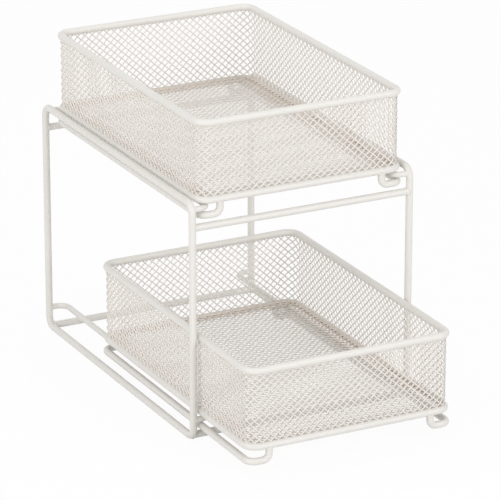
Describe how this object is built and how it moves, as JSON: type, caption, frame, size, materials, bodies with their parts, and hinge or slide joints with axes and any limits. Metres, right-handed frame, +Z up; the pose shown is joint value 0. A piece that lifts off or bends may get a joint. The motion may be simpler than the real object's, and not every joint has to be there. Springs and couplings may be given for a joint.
{
  "type": "pull-out organizer",
  "caption": "Open wire frame with tiers of rails, each carrying a shallow mesh basket that slides out on hooked runners.",
  "frame": {"origin": "on the floor, under the middle of the whole object's box with the lower basket drawn out as it rests", "axes": "+Z up, -Y towards the front, the way the baskets are drawn out, +X to the right seen from the front"},
  "size_m": [0.1896, 0.3492, 0.2534],
  "materials": {
    "wire_coat": "satin off-white powder coat on round steel wire",
    "rail_coat": "satin off-white powder coat on round steel wire, polished a little where the baskets slide",
    "mesh_coat": "satin off-white powder coat on fine woven steel mesh"
  },
  "bodies": {
    "frame": {"left_side_loop": "wire_coat", "right_side_loop": "wire_coat", "front_bottom_bar": "wire_coat", "back_bottom_bar": "wire_coat", "front_top_bar": "wire_coat", "back_top_bar": "wire_coat", "lower_left_rail": "rail_coat", "lower_right_rail": "rail_coat", "upper_left_rail": "rail_coat", "upper_right_rail": "rail_coat"},
    "lower_basket": {"lower_base_ring": "wire_coat", "lower_rim": "wire_coat", "lower_left_runner": "wire_coat", "lower_right_runner": "wire_coat", "lower_front_mesh": "mesh_coat", "lower_back_mesh": "mesh_coat", "lower_left_mesh": "mesh_coat", "lower_right_mesh": "mesh_coat", "lower_floor_mesh": "mesh_coat", "lower_mesh_flange": "mesh_coat"},
    "upper_basket": {"upper_base_ring": "wire_coat", "upper_rim": "wire_coat", "upper_left_runner": "wire_coat", "upper_right_runner": "wire_coat", "upper_front_mesh": "mesh_coat", "upper_back_mesh": "mesh_coat", "upper_left_mesh": "mesh_coat", "upper_right_mesh": "mesh_coat", "upper_floor_mesh": "mesh_coat", "upper_mesh_flange": "mesh_coat"}
  },
  "joints": [
    {"name": "lower_basket_slide", "type": "slide", "parent": "frame", "child": "lower_basket", "axis": [0, -1, 0], "range_m": [-0.084, 0.156]},
    {"name": "upper_basket_slide", "type": "slide", "parent": "frame", "child": "upper_basket", "axis": [0, -1, 0], "range_m": [-0.004, 0.236]}
  ]
}
